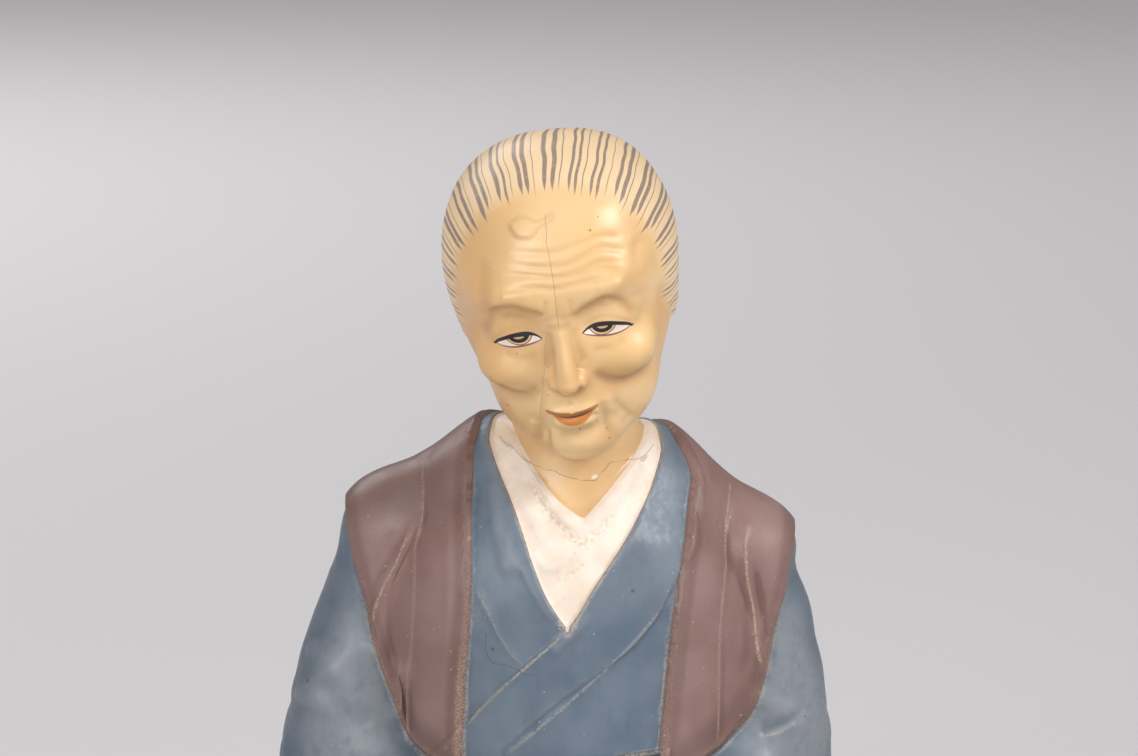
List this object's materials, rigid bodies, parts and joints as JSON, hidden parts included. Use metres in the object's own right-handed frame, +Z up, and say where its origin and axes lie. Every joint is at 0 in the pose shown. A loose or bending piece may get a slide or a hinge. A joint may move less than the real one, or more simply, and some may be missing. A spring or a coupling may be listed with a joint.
{
  "type": "hakata doll",
  "caption": "Painted clay doll of an elderly woman kneeling with her hands in her lap, in kimono and sleeveless over-vest, on a low lacquered plinth",
  "frame": {"origin": "centre of the plinth's underside, which is the centre of the bounding box's bottom face", "axes": "+Z up, the woman faces -Y, +X is to her left"},
  "size_m": [0.1686, 0.1484, 0.2463],
  "materials": {
    "doll": "satin hand-painted fired clay: blue-grey kimono, brown vest, white under-collar, warm skin and painted grey hair, worn and dusty",
    "plinth": "black lacquer, slightly worn at the edges"
  },
  "bodies": {
    "root": {"doll": "doll", "plinth": "plinth"}
  },
  "joints": []
}
